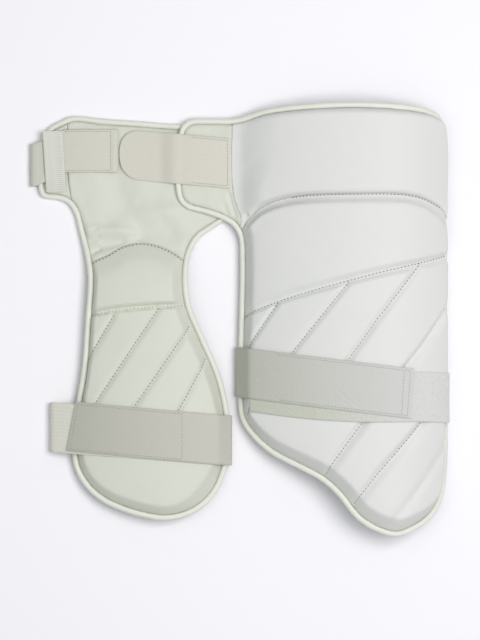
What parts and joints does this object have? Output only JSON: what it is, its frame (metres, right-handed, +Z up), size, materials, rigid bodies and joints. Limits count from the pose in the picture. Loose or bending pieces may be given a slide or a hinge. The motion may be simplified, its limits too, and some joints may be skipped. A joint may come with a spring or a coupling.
{
  "type": "cricket thigh guard set",
  "caption": "Padded outer thigh guard with hip flap and wing, hooked to a slimmer inner guard on a soft hanger, with elastic straps, lying face up.",
  "frame": {"origin": "middle of the bounding box in plan, on the surface that the set lies on", "axes": "+Z up out of that surface, +Y from the foot of the guards to the waist, +X from the inner guard to the outer guard"},
  "size_m": [0.4208, 0.4332, 0.0617],
  "materials": {
    "white_cover": "smooth polyurethane-coated synthetic leather, low sheen",
    "ivory_cover": "soft polyurethane-coated synthetic leather, low sheen",
    "piping": "folded synthetic leather over a cord",
    "elastic": "woven elastic, fine ribs",
    "loop_pile": "knitted loop pile",
    "hook_tape": "woven tape with brushed back",
    "webbing": "ribbed woven webbing"
  },
  "bodies": {
    "root": {"waist_wing": "ivory_cover", "hip_pad": "white_cover", "outer_thigh_pad": "white_cover", "outer_piping": "piping", "inner_thigh_pad": "ivory_cover", "hanger_panel": "ivory_cover", "strap_tab_panel": "ivory_cover", "inner_piping": "piping", "outer_loop_band": "loop_pile", "outer_leg_strap": "elastic", "inner_loop_band": "loop_pile", "inner_leg_strap": "elastic", "waist_hook_patch": "hook_tape", "waist_strap": "elastic", "strap_keeper": "webbing", "joining_tab": "hook_tape"}
  },
  "joints": []
}
